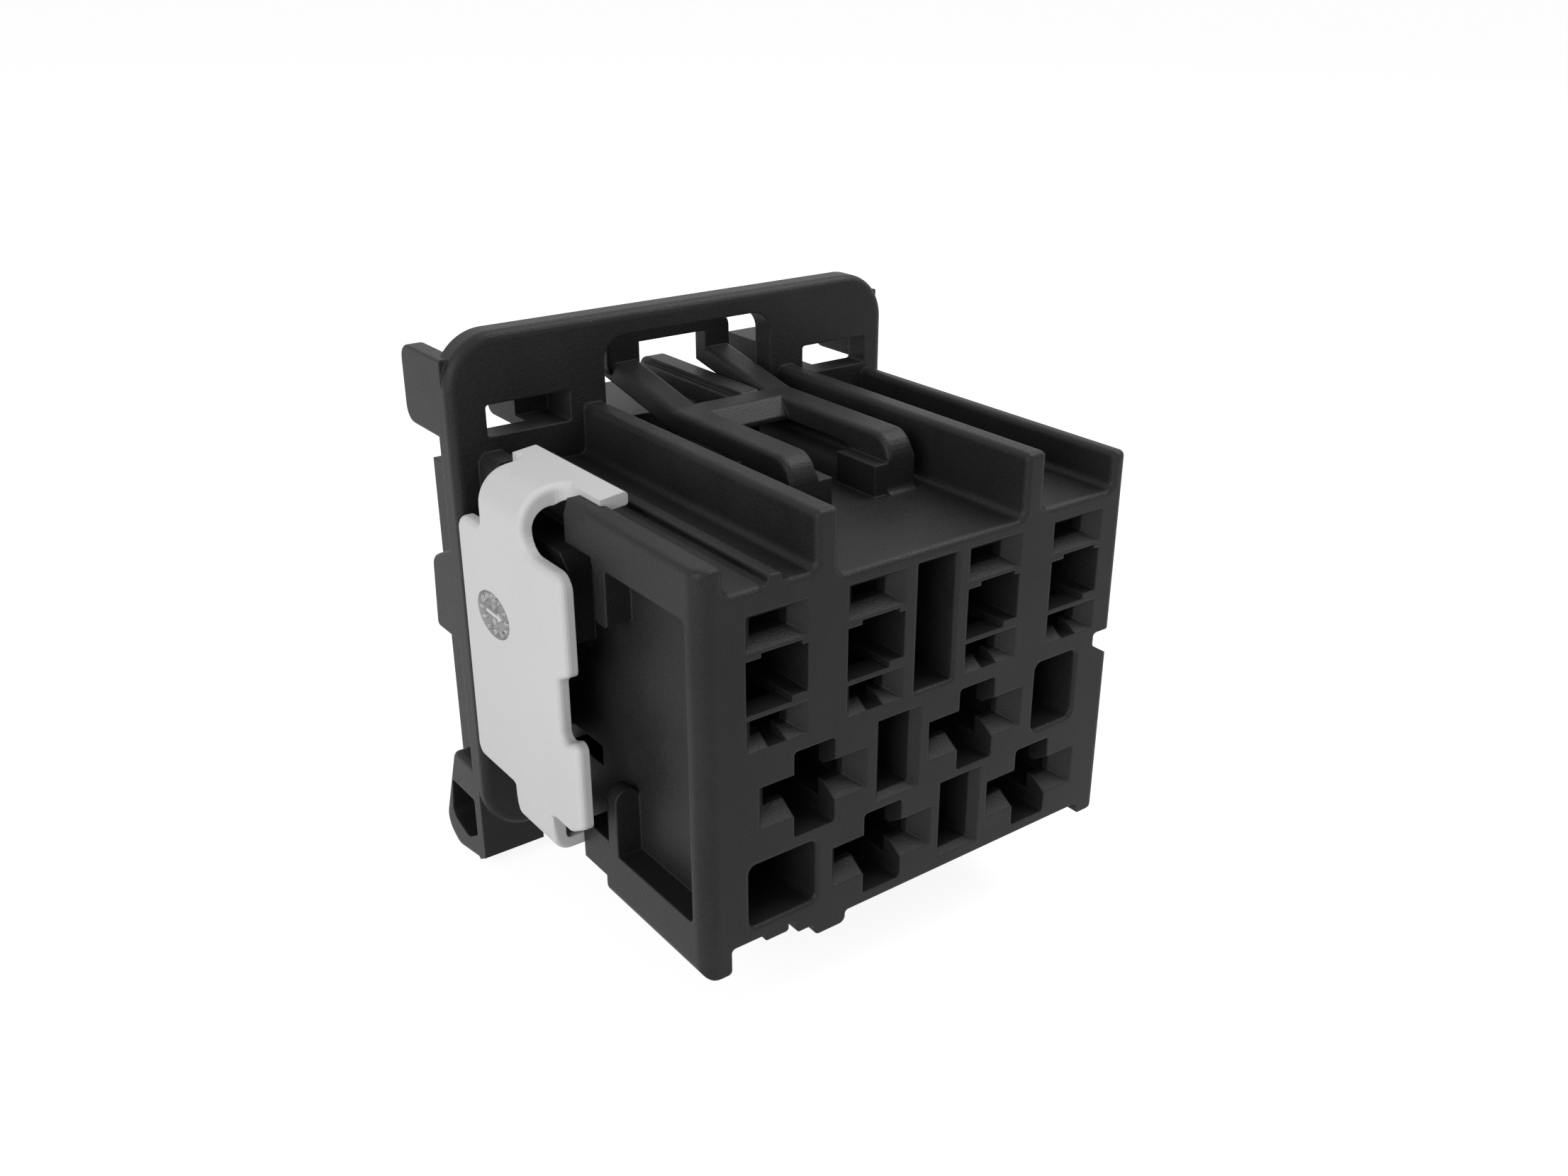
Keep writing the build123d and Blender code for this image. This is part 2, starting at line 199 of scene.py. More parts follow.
def box(low0, high0, low1, high1, corner=0.0, steps=6):
    corners = [(low0, low1, corner), (high0, low1, corner), (high0, high1, corner), (low0, high1, corner)]
    return rounded(corners, steps)


def linked(name, data):
    piece = bpy.data.objects.new(name, data)
    bpy.context.scene.collection.objects.link(piece)
    return piece


def lofted(rings):
    # equal rings of points, one behind the other, with a face across each end
    rings = np.asarray(rings, float)
    count, around = rings.shape[:2]
    index = np.arange(count * around).reshape(count, around)
    ahead = np.roll(index, -1, axis=1)
    faces = np.stack([index[:-1], ahead[:-1], ahead[1:], index[1:]], axis=-1).reshape(-1, 4).tolist()
    faces += [index[0, ::-1].tolist(), index[-1].tolist()]
    mesh = bpy.data.meshes.new("solid")
    mesh.from_pydata(rings.reshape(-1, 3).tolist(), [], faces)
    shape = bmesh.new()
    shape.from_mesh(mesh)
    bmesh.ops.recalc_face_normals(shape, faces=shape.faces)
    shape.to_mesh(mesh)
    shape.free()
    return linked("solid", mesh)


def carried(outline, axis, low, high):
    # an outline in the two other directions, carried along the axis from low to high
    rings = np.empty((2, len(outline), 3))
    rings[:, :, [way for way in range(3) if way != axis]] = outline
    rings[0, :, axis], rings[1, :, axis] = low, high
    return lofted(rings)


def block(x0, x1, y0, y1, z0, z1):
    return carried(box(x0, x1, z0, z1), 1, y0, y1)


def funnel(x0, x1, z0, z1, inset, fall, rise, depth, end):
    # a mouth that narrows by inset at its sides, by rise below and fall above, then runs straight
    rings = []
    for y, share in ((-past, 0), (0, 0), (depth, 1), (end, 1)):
        left, right, low, high = x0 + inset * share, x1 - inset * share, z0 + rise * share, z1 - fall * share
        rings.append([(left, y, low), (right, y, low), (right, y, high), (left, y, high)])
    return lofted(rings)


def settle(solid):
    # turns what the modifiers show into the solid's own mesh
    bpy.context.view_layer.update()
    seen = solid.evaluated_get(bpy.context.evaluated_depsgraph_get())
    mesh = bpy.data.meshes.new_from_object(seen)
    solid.modifiers.clear()
    solid.data = mesh
    return solid


def merged(solid, operation, tools):
    # adds or takes away all the tools, which are used up
    for tool in tools:
        change = solid.modifiers.new(operation, "BOOLEAN")
        change.operation, change.solver, change.object = operation, "MANIFOLD", tool
    settle(solid)
    for tool in tools:
        bpy.data.objects.remove(tool)
    return solid


def joined(solid, *tools):
    return merged(solid, "UNION", tools)


def without(solid, *tools):
    return merged(solid, "DIFFERENCE", tools)


def softened(solid, width, chosen, segments=3):
    # rounds the sharp edges whose middle passes the test
    shape = bmesh.new()
    shape.from_mesh(solid.data)
    weight = shape.edges.layers.float.new("bevel_weight_edge")
    for edge in shape.edges:
        middle = (edge.verts[0].co + edge.verts[1].co) / 2
        if edge.calc_face_angle(0) > sharpAngle and chosen(*middle):
            edge[weight] = 1
    shape.to_mesh(solid.data)
    shape.free()
    bevel = solid.modifiers.new("rounding", "BEVEL")
    bevel.limit_method, bevel.use_clamp_overlap = "WEIGHT", False
    bevel.width, bevel.segments = width, segments
    return settle(solid)


def placed(solid, name, node, material):
    # from millimetres above the feet to metres in the shared frame
    mesh = solid.data
    corners = np.empty(len(mesh.vertices) * 3, np.float32)
    mesh.vertices.foreach_get("co", corners)
    corners = (corners.reshape(-1, 3) - (0, 0, originHeight)) * mm
    mesh.vertices.foreach_set("co", corners.astype(np.float32).ravel())
    mesh.update()
    solid.name = mesh.name = name
    mesh.materials.clear()
    mesh.materials.append(material)
    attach(solid, node)
    return solid


# The housing's body: rails and walls above, feet, a keel and a low rib below.
body = {
    "half": 15.3, "length": 30.4, "underside": 0.78, "leftUnderside": 1.6, "leftUndersideEnd": -9.2,
    "floor": 22.05, "leftFloor": 22.7, "rightFloor": 22.27, "leftWall": 24.3, "rightWall": 24.55,
    "leftWallInner": -13.7, "rightWallInner": 14.25, "rail": 25.87, "leftRail": (-8.0, -6.5),
    "rightRail": (6.95, 8.45), "foot": 1.68, "footLength": 10.59, "footCorner": 0.7, "rearFoot": 1.3,
    "rearFootInner": -13.4, "blend": 0.5, "edge": 0.4, "underEdge": 0.25, "rim": 0.35,
    "leftCorner": 1.0, "rightCorner": 0.5, "cornerReach": (-2, 27), "channelEnd": 24,
    "keel": (-7.95, -5.69, 0.03, 0.4), "lowRib": (-11.4, -9.75, 1.19, 0.2),  # left, right, bottom, corner
    "rearFootEnd": 25, "intoFlange": 0.5, "cornerSteps": 8,
    "channelRib": (-11.05, -10.15, 23.2, 0.2), "ribFlank": 0.4, "ribRoot": 0.3, "ribEnd": 0.13,
    "groove": (10.55, 11.15, 12.12, 12.97), "grooveDepth": 1.54,
}
half = body["half"]


def bodyProfile():
    # the section across the body, with blends in its inner corners
    blend, edge, small = body["blend"], body["edge"], body["underEdge"]
    left, right, rail, floor = body["leftRail"], body["rightRail"], body["rail"], body["floor"]
    leftInner, rightInner = body["leftWallInner"], body["rightWallInner"]
    top = [(-half, 0, body["footCorner"]), (-half, body["leftWall"]), (leftInner, body["leftWall"], edge),
           (leftInner, body["leftFloor"], blend), (left[0], body["leftFloor"], blend), (left[0], rail, edge),
           (left[1], rail, edge), (left[1], floor, blend), (right[0], floor, blend), (right[0], rail, edge),
           (right[1], rail, edge), (right[1], body["rightFloor"], blend),
           (rightInner, body["rightFloor"], blend), (rightInner, body["rightWall"], edge),
           (half, body["rightWall"])]
    footInner, low, leftLow = half - body["foot"], body["underside"], body["leftUnderside"]
    keelLeft, keelRight, keelLow, keelCorner = body["keel"]
    ribLeft, ribRight, ribLow, ribCorner = body["lowRib"]
    bottom = [(half, 0, body["footCorner"]), (footInner, 0, small), (footInner, low, small),
              (keelRight, low, small), (keelRight, keelLow, keelCorner), (keelLeft, keelLow, keelCorner),
              (keelLeft, low, small), (body["leftUndersideEnd"], low, small),
              (body["leftUndersideEnd"], leftLow, small), (ribRight, leftLow), (ribRight, ribLow, ribCorner),
              (ribLeft, ribLow, ribCorner), (ribLeft, leftLow), (-footInner, leftLow, small),
              (-footInner, 0, small)]
    return rounded(top + bottom)


def cornerCutter(side, radius):
    # what a rounded upright corner leaves out of the front of the body
    corner = [(side * (half + past), -past), (side * (half - radius), -past), (side * (half - radius), 0),
              (side * half, 0, radius), (side * half, radius), (side * (half + past), radius)]
    return carried(rounded(corner, body["cornerSteps"]), 2, *body["cornerReach"])


def floorRib():
    # a low rib with blended flanks along the left channel
    left, right, top, corner = body["channelRib"]
    flank, low = body["ribFlank"], body["leftFloor"]
    root = low - body["ribRoot"]
    corners = [(left - flank, root), (left - flank, low), (left, low, corner), (left, top, corner),
               (right, top, corner), (right, low, corner), (right + flank, low), (right + flank, root)]
    rib = carried(rounded(corners), 1, 0, body["channelEnd"])
    return softened(rib, body["ribEnd"], lambda x, y, z: y < near and z > low + 0.05)


def frontBody():
    # everything before the flange, with its rim, its upright corners and the groove of the right side
    front = carried(bodyProfile(), 1, 0, flange["front"] + body["intoFlange"])
    front = without(front, cornerCutter(-1, body["leftCorner"]), cornerCutter(1, body["rightCorner"]))

    def onRim(x, y, z):
        if y < near:
            return z > body["floor"] - 1
        outside = abs(x) > half - near or (y < 1 and abs(x) > half - 1)
        return outside and z > body["leftWall"] - near and y < flange["front"]
    front = softened(front, body["rim"], onRim)
    lowest, low, high, top = body["groove"]
    depth, corner = half - body["grooveDepth"], body["underEdge"]
    groove = rounded([(half + past, top), (depth, top, corner), (depth, high, corner), (half, low),
                      (half + past, lowest)])
    rearFoot = block(-half - past, body["rearFootInner"], body["footLength"], body["rearFootEnd"],
                     -past, body["rearFoot"])
    return without(joined(front, floorRib()), carried(groove, 1, -past, body["channelEnd"]), rearFoot)


# The left side: a sunk panel with a hanging bar and a post, and the bay that the lock slides in.
leftSide = {
    "depth": 1.6, "front": 1.23, "bottom": 3.35, "top": 21.45, "corner": 0.4, "innerCorner": 0.25,
    "bar": (9.0, 10.17, 18.05), "post": (9.1, 10.1, 7.67), "postCorner": 0.79, "postFoot": (3.0, 6.4),
    "wallEnd": 13.15, "wallUnderside": 21.8, "wallBlend": 0.8, "wallInner": -13.69, "above": 25.3,
    "wallNotch": (1.07, 10.9), "wallChamfer": ((0.0, 23.4), (0.2, 24.0), (0.4, 25.3)), "ledge": 3.94,
    "bayDepth": 2.3, "bayBlock": (15.41, 20.1, 0.8), "bayBlockCorner": 0.15, "stub": (21.5, 24.05),
    "stubInner": -13.6, "stubChamfer": (0.4, 0.6), "tongues": (14.25, 7.2), "tongueThickness": 1.0,
    "tongueRoom": (-11.95, 20.15, 0.15), "postRoot": 0.3, "bayRoot": 0.2, "barGap": 0.2, "intoFlange": 0.3,
    "clear": 0.1, "stubClear": 0.01,
}


def leftSideCut(shape):
    # the panel and the bay are cut first, then the post and the bay's block are set in
    s, out, end = leftSide, -half - past, flange["front"] + leftSide["intoFlange"]
    wallEnd, small, clear = s["wallEnd"], s["innerCorner"], s["clear"]
    panel, outside, over, under = -half + s["depth"], -half - clear, s["above"], s["wallUnderside"]
    barFront, barRear, barBottom = s["bar"]
    postFront, postRear, postTop = s["post"]
    stubFront, stubTop = s["stub"]
    corners = [(s["front"], s["bottom"], s["corner"]), (s["front"], s["top"], s["corner"]),
               (barFront, s["top"], small), (barFront, barBottom, small), (barRear, barBottom, small),
               (barRear, under, s["wallBlend"]), (wallEnd, under), (wallEnd, over), (stubFront, over),
               (stubFront, under), (end, under), (end, -past), (wallEnd, -past), (wallEnd, s["ledge"], small),
               (postRear, s["ledge"], small), (postRear, s["bottom"])]
    shape = without(shape, carried(rounded(corners), 0, out, panel))

    postLow, postStep = s["postFoot"]
    post = [(-half, postLow), (-half, postTop, s["postCorner"]), (panel, postTop, s["postCorner"]),
            (panel, postStep), (panel + s["postRoot"], postStep), (panel + s["postRoot"], postLow)]
    shape = joined(shape, carried(rounded(post), 1, postFront, postRear))

    low, high, slope = s["bayBlock"]
    bay, corner = -half + s["bayDepth"], s["bayBlockCorner"]
    step = [(wallEnd, low, corner), (wallEnd, high, corner), (wallEnd + slope, high + slope, corner),
            (end, high + slope), (end, low)]
    shape = without(shape, block(out, bay, barRear + s["barGap"], end, high, under))
    shape = joined(shape, carried(rounded(step), 0, -half, bay + s["bayRoot"]))

    inward, down = s["stubChamfer"]
    stubEdge = [(outside, over), (outside, stubTop - down), (-half + inward, stubTop),
                (s["stubInner"], stubTop), (s["stubInner"], over)]
    wallEdge = [(outside, over), (outside, s["wallChamfer"][0][1])]
    wallEdge += [(-half + across, up) for across, up in s["wallChamfer"]]
    notchDepth, notchFront = s["wallNotch"]
    cuts = [block(out, s["wallInner"], wallEnd, stubFront, under - clear, over),
            block(-half + notchDepth, s["wallInner"], notchFront, wallEnd + clear, body["leftFloor"], over),
            carried(np.array(stubEdge), 1, stubFront - s["stubClear"], end),
            carried(np.array(wallEdge), 1, notchFront, wallEnd + clear)]
    roomInner, roomRear, room = s["tongueRoom"]
    for height in s["tongues"]:
        top = height + s["tongueThickness"]
        cuts.append(block(out, roomInner, wallEnd, roomRear, height - room, top + room))
    return without(shape, *cuts)


# Mouths and hollows of the mating face: upright ones, flat ones, and the keying slots and pockets.
upright = {
    "width": 4.03, "height": 7.87, "bottom": 13.43, "centres": (-10.475, -3.825, 4.845, 11.495),
    "sill": 2.2, "sillThickness": 0.25, "ridge": (1.04, 0.35, 6.0), "shelf": 5.79, "shelfThickness": 0.17,
    "shelfEnds": (0.96, 0.4, 0.26), "gap": 1.17, "lead": (0.83, 0.57, 0.85),  # lead: inset, rise, depth
}
flat = {
    "width": 7.48, "height": 2.63, "places": ((-7.98, 8.53), (4.02, 8.53), (-2.98, 2.76), (9.02, 2.76)),
    "lead": (1.0, 0.73, 1.08), "margin": 0.45, "notch": (2.84, 1.38, 0.25),
}
keys = {  # left edge, width, bottom, height and depth of each
    "slots": ((-3.61, 3.25, 7.21, 5.29, 9.0), (1.37, 3.29, 1.47, 5.27, 9.0)), "slotLead": (0.5, 0.33, 0.49),
    "long": (-0.9, 2.77, 13.45, 7.77, 19.0), "longCorner": 0.05, "longOpening": (12.0, 18.0, 1.5, 0.5),
    "right": (8.87, 3.43, 7.67, 4.58, 9.0), "left": (-12.36, 4.54, 2.42, 3.96, 12.0), "corner": 0.45,
    "rim": 0.25, "rimSteps": 5, "wall": 1.53, "overlap": 0.2,
}


def uprightHollow(centre):
    # three openings in the face, one above the other, and a full hollow behind them
    u = upright
    x0, x1 = centre - u["width"] / 2, centre + u["width"] / 2
    low, top = u["bottom"], u["bottom"] + u["height"]
    sill, shelf, through = low + u["sill"], low + u["shelf"], keys["wall"] + keys["overlap"]
    ridgeWidth, ridgeHeight, ridgeLength = u["ridge"]
    inset, rise, depth = u["lead"]
    sillLow, ridgeTop = sill - u["sillThickness"], sill + ridgeHeight
    chamber = without(block(x0, x1, keys["wall"], body["length"] + past, low, top),
                      block(x1 - ridgeWidth, x1 + past, 0, ridgeLength, sillLow, ridgeTop))
    shelfLow = shelf - u["shelfThickness"]
    leftEnd, rightEnd, drop = u["shelfEnds"]
    window = [(x0, sill), (x0, shelfLow - drop), (x0 + leftEnd, shelfLow - drop), (x0 + leftEnd, shelfLow),
              (x1 - rightEnd, shelfLow), (x1 - rightEnd, shelfLow - drop), (x1, shelfLow - drop),
              (x1, ridgeTop), (x1 - ridgeWidth, ridgeTop), (x1 - ridgeWidth, sill)]
    return [chamber, funnel(x0, x1, low, sillLow, inset, 0, rise, depth, through),
            block(centre - u["gap"] / 2, centre + u["gap"] / 2, -past, through, low, sillLow),
            carried(np.array(window), 1, -past, through),
            funnel(x0, x1, shelf, top, inset, rise, rise, depth, through)]


def flatHollow(centre, low):
    # a flat mouth with lead-ins, a chamber behind it and an upright channel through the middle
    f, rear = flat, body["length"] + past
    x0, x1, top = centre - f["width"] / 2, centre + f["width"] / 2, low + f["height"]
    inset, rise, depth = f["lead"]
    notchWidth, reach, corner = f["notch"]
    channel = box(centre - notchWidth / 2, centre + notchWidth / 2, low - reach, top + reach, corner)
    return [funnel(x0, x1, low, top, inset, rise, rise, depth, keys["wall"] + keys["overlap"]),
            carried(channel, 1, -past, rear),
            block(x0, x1, keys["wall"], rear, low - f["margin"], top + f["margin"])]


def roundedPocket(x0, width, z0, height, depth, corner):
    # the rings widen towards the mouth along a quarter circle
    reach, steps = keys["rim"], keys["rimSteps"]
    turn = np.linspace(0, math.pi / 2, steps)
    depths = [-past, *(reach * (1 - np.cos(turn))), depth]
    spreads = [reach, *(reach * (1 - np.sin(turn))), 0]
    rings = []
    for y, spread in zip(depths, spreads):
        ring = box(x0 - spread, x0 + width + spread, z0 - spread, z0 + height + spread,
                   corner + spread, steps)
        rings.append(np.stack([ring[:, 0], 0 * ring[:, 0] + y, ring[:, 1]], axis=1))
    return lofted(rings)


def hollows():
    tools = []
    for centre in upright["centres"]:
        tools += uprightHollow(centre)
    for centre, low in flat["places"]:
        tools += flatHollow(centre, low)
    inset, rise, depth = keys["slotLead"]
    for x0, width, z0, height, end in keys["slots"]:
        tools.append(funnel(x0, x0 + width, z0, z0 + height, inset, rise, rise, depth, end))
    pockets = ((keys["long"], keys["longCorner"]), (keys["right"], keys["corner"]),
               (keys["left"], keys["corner"]))
    return tools + [roundedPocket(*pocket, corner) for pocket, corner in pockets]


# The flange: a plate with two windows, a block behind each of them, and the arch of the latch.
flange = {
    "front": 23.57, "back": 25.3, "left": -16.9, "right": 16.1, "bottom": -2.4, "top": 31.25,
    "corner": 3.2, "rim": 0.55, "windows": ((-14.57, 5.67), (9.05, 5.45)), "windowBottom": 24.98,
    "windowHeight": 1.97, "windowCorner": 0.2, "windowDepth": 1.3, "arch": (-6.4, 6.35, 29.8, 1.5),
    "blocks": ((-11.2, 3.8), (7.4, 3.8)), "blockBottom": 24.3, "blockHeight": 2.6, "blockLength": 5.3,
    "blockCorners": (0.4, 0.8), "blockRoot": 0.5, "cornerSteps": 16, "archSteps": 10, "rimSteps": 4,
}


def flangePlate():
    f, floor = flange, body["floor"]
    sheet = box(f["left"], f["right"], f["bottom"], f["top"], f["corner"], f["cornerSteps"])
    sheet = carried(sheet, 1, f["front"], f["back"])
    sheet = softened(sheet, f["rim"], lambda x, y, z: y < f["front"] + near, f["rimSteps"])
    root, rear, low = f["back"] - f["blockRoot"], f["back"] + f["blockLength"], f["blockBottom"]
    top, (topCorner, lowCorner) = low + f["blockHeight"], f["blockCorners"]
    side = rounded([(root, low), (root, top), (rear, top, topCorner), (rear, low, lowCorner)])
    sheet = joined(sheet, *[carried(side, 0, x0, x0 + width) for x0, width in f["blocks"]])
    low, high = f["windowBottom"], f["windowBottom"] + f["windowHeight"]
    cuts = [carried(box(x0, x0 + width, low, high, f["windowCorner"]), 1, f["front"] - past,
                    f["back"] + f["windowDepth"]) for x0, width in f["windows"]]
    left, right, top, corner = f["arch"]
    arch = rounded([(left, floor), (right, floor), (right, top, corner), (left, top, corner)], f["archSteps"])
    return without(sheet, *cuts, carried(arch, 1, f["front"] - past, f["back"] + past))


# The latch: two arms anchored at the front, joined by a bar and by the pad behind the flange.
latch = {
    "arms": (-3.85, 3.4), "width": 2.05, "front": 7.85, "nose": 1.5, "top": 25.6, "thickness": 1.3,
    "foot": 0.6, "footBlend": 0.5, "anchor": 3.55, "anchorBlend": 0.8, "stepWidth": 1.0, "stepTop": 24.0,
    "bend": 20.0, "bendRadius": 2.0, "rear": 27.0, "rearTop": 27.3, "bar": 18.6, "barSlope": 0.3,
    "barCorner": 0.4, "padTop": 29.2, "padArch": 28.2, "padThickness": 1.2, "padCorner": 0.9, "padEdge": 0.25,
    "rounding": 0.35, "roundedAbove": 0.2, "underRise": 0.25, "root": 0.5, "stepRoot": 0.1, "padLeft": 0.3,
    "padReach": 3, "steps": 8,
}


def latchArm(x0, outerSide):
    # the arm's side view, carried across its width, with a step beside its anchor
    k, floor, root = latch, body["floor"], body["floor"] - latch["root"]
    x1, end, low = x0 + k["width"], k["rear"] + k["padThickness"], k["top"] - k["thickness"]
    front, anchorRear = k["front"], k["front"] + k["anchor"]
    side = [(front - k["foot"], root), (front - k["foot"], floor), (front, floor, k["footBlend"]),
            (front, k["top"], k["nose"]), (k["bend"], k["top"], k["bendRadius"]), (end, k["rearTop"]),
            (end, k["rearTop"] - k["thickness"]), (k["bend"], low, k["bendRadius"]),
            (anchorRear, low, k["anchorBlend"]), (anchorRear, root)]
    arm = carried(rounded(side, k["steps"]), 0, x0, x1)

    def onTop(x, y, z):
        return z > low + k["roundedAbove"] + k["underRise"] * max(0, y - k["bend"]) and y < end - 0.1
    arm = softened(arm, k["rounding"], onTop)
    stepRoot, stepWidth = k["stepRoot"], k["stepWidth"]
    step = (x1 - stepRoot, x1 + stepWidth) if outerSide < 0 else (x0 - stepWidth, x0 + stepRoot)
    return joined(arm, block(*step, front, anchorRear, root, k["stepTop"]))


def latchShape():
    k, (left, right) = latch, latch["arms"]
    inner, thickness, root = left + k["width"], k["thickness"], k["root"]
    low, front = k["top"] - thickness, k["bar"] - thickness + k["barSlope"]
    bend, padLow = k["bend"] + k["barSlope"], k["rearTop"] - thickness
    bar = rounded([(front, low), (front, low + k["barSlope"]), (k["bar"], k["top"], k["barCorner"]),
                   (bend, k["top"]), (bend, low)])
    pad = box(left - k["padLeft"], right + k["width"], padLow, k["padTop"], k["padCorner"])
    pad = carried(pad, 1, k["rear"], k["rear"] + k["padThickness"])
    pad = softened(pad, k["padEdge"], lambda x, y, z: True)
    rear, reach = k["rear"], k["padReach"]
    pad = without(pad, block(inner, right, rear - past, rear + reach, k["rearTop"] - reach, k["padArch"]))
    return joined(latchArm(left, -1), latchArm(right, 1), carried(bar, 0, inner - root, right + root), pad)


# A raised deck behind the flange, and a bar that runs back over it beside the right arm of the latch.
deck = {
    "top": 24.0, "rear": 33.0, "root": 0.3, "bar": (1.75, 3.1), "barTop": 25.65, "barFront": 20.4,
    "barCorner": 1.2, "step": (1.25, 0.4), "stepCorner": 1.0, "stepRoot": 0.1, "frontCorner": 0.3,
}


def deckShape():
    d, low = deck, body["floor"] - deck["root"]
    left, right, _, _ = flange["arch"]
    shape = block(left, right, flange["back"] - d["root"], d["rear"], low, d["top"])
    stepLeft, drop = d["step"]
    bars = ((*d["bar"], d["barTop"], d["barCorner"]),
            (stepLeft, d["bar"][0] + d["stepRoot"], d["barTop"] - drop, d["stepCorner"]))
    pieces = []
    for x0, x1, top, corner in bars:
        side = [(d["barFront"], low), (d["barFront"], top, d["frontCorner"]), (d["rear"], top, corner),
                (d["rear"], low)]
        pieces.append(carried(rounded(side), 0, x0, x1))
    return joined(shape, *pieces)


# Ears, bumps and loops stand on the back of the flange at both sides.
fittings = {
    "thickness": 1.2, "earRear": 30.0, "earBottom": 24.94, "earTop": 29.85, "earCorner": 1.0, "earEdge": 0.15,
    "bump": (11.5, 17.8, 28.5), "bumpSlope": 1.5, "bumpCorners": (0.3, 1.0), "bumpEdge": 0.3,
    "loopWidth": 4.4, "loopTop": 2.2, "loopBottom": -5.74, "loopRear": 30.9, "loopLean": (2.6, 0.8),
    "loopRoot": 1.2, "loopEdge": 0.35, "earRoot": 0.8, "root": 1, "clear": 0.05, "bumpClear": 1,
    "loopClear": 0.2,
    # corners of the loop's foot: before the rear, above the bottom, radius
    "loopFoot": ((0.0, 1.1, 1.5), (2.0, 0.0, 1.5), (5.3, 0.6, 1.0)),
    # corners of its hole: before the rear or behind the flange, height, radius
    "loopHole": ((2.0, -0.4, 0.3), (1.5, -3.4, 0.8), (3.9, -4.1, 0.8)),
    "holeFront": ((0.2, -0.4, 0.2), (0.2, -3.2, 0.4)),
}


def sideFittings(x0):
    g, front, back = fittings, flange["front"], flange["back"]
    x1, root, clear = x0 + g["thickness"], front + g["root"], back + g["clear"]
    ear = [(front + g["earRoot"], g["earBottom"]), (g["earRear"], g["earBottom"], g["earCorner"]),
           (g["earRear"], g["earTop"], g["earCorner"]), (front + g["earRoot"], g["earTop"])]
    ear = softened(carried(rounded(ear), 0, x0, x1), g["earEdge"], lambda x, y, z: y > clear)

    low, high, rear = g["bump"]
    lowCorner, highCorner = g["bumpCorners"]
    bump = [(root, low), (rear, low, lowCorner), (rear, high - g["bumpSlope"], highCorner), (back, high),
            (root, high)]
    bump = carried(rounded(bump), 0, x0, x1)
    bump = softened(bump, g["bumpEdge"], lambda x, y, z: y > clear and z > low + g["bumpClear"])

    bottom, rear = g["loopBottom"], g["loopRear"]
    x2, x3 = (x0, x0 + g["loopWidth"]) if x0 < 0 else (x1 - g["loopWidth"], x1)
    lean, leanCorner = g["loopLean"]
    loop = [(root, g["loopTop"]), (rear - lean, g["loopTop"], leanCorner)]
    loop += [(rear - before, bottom + above, corner) for before, above, corner in g["loopFoot"]]
    loop = carried(rounded(loop + [(root, bottom + g["loopRoot"])]), 0, x2, x3)
    loop = softened(loop, g["loopEdge"], lambda x, y, z: y > back + g["loopClear"])
    first, last = [(back + behind, height, corner) for behind, height, corner in g["holeFront"]]
    hole = [first, *[(rear - before, height, corner) for before, height, corner in g["loopHole"]], last]
    return [ear, bump, without(loop, carried(rounded(hole), 0, x2 - past, x3 + past))]


def makeHousing():
    # the hollows are cut before the latch and the deck are set on, so that these stay whole
    shape = leftSideCut(frontBody())
    rear = block(-half, half, flange["front"], body["length"], body["underside"], body["floor"])
    shape = joined(shape, rear, flangePlate(), *sideFittings(flange["left"]),
                   *sideFittings(flange["right"] - fittings["thickness"]))
    shape = without(shape, *hollows())
    shape = joined(shape, latchShape(), deckShape())
    x0, width = keys["long"][:2]
    front, rear, below, above = keys["longOpening"]
    return without(shape, block(x0, x0 + width, front, rear, body["floor"] - below, body["floor"] + above))


housing = placed(makeHousing(), "housing_shell", "housing", housingPlastic)
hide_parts("housing")
print("housing ready:", len(housing.data.polygons), "faces")

# The side lock: a plate outside the wall, bent over its top, with an arm along the channel and a lip below.
lock = {
    "outer": -17.2, "thickness": 0.8, "rounding": 0.4, "roundingSteps": 4, "rear": 23.3, "front": 10.47,
    "lobe": 9.75, "lobeLow": 4.6, "bottom": 4.45, "notch": (11.7, 14.3, 10.3), "plateTop": 20.95,
    "neck": 2.0, "top": 24.15, "bridge": (14.9, 20.2), "bridgeBlends": (0.9, 0.5), "bendFoot": 2.3,
    "bendRadius": 2.1, "bendSteps": 10, "bendCentre": 1.77, "bendCutter": (-18, 20, 27),
    "bendRounded": (2.2, 12.8, 20.9), "arm": (11.0, 21.2, -14.2), "armTip": (-12.45, 24.81, 24.0),
    "armUnder": (-14.0, 23.85, 0.5), "armRise": -14.9, "lip": (13.3, 18.05), "lipLow": 2.05,
    "lipInner": -14.6, "lipRoot": 3.3, "lipEdge": 0.25, "lipCorner": 1.1, "lipRounded": (3.8, 0.3, 0.4),
    "tongue": (16.8, 20.0, 3.6), "tongueRoot": 0.2, "seam": 0.002, "flatAngle": 0.01,
}


